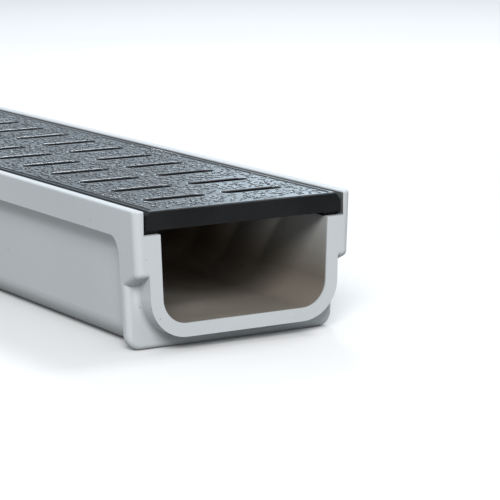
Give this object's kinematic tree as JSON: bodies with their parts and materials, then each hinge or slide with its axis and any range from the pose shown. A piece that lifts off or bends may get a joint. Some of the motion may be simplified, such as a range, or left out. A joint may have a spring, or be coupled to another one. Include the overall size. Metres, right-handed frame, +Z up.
{
  "type": "channel drain",
  "caption": "Shallow surface drainage channel, nominal width 100 mm, laying length 1 m, with slotted gratings lying in its rims.",
  "frame": {"origin": "bottom centre of the whole part, on the plane that it stands on", "axes": "+X along the channel towards the tongue end, +Y across it, +Z up"},
  "size_m": [1.014, 0.13, 0.075],
  "materials": {
    "channel_grey": "cast, matte, light grey",
    "grating_black": "moulded, pebbled, half gloss black"
  },
  "bodies": {
    "root": {"channel_body": "channel_grey", "grating_front": "grating_black", "grating_back": "grating_black"}
  },
  "joints": []
}
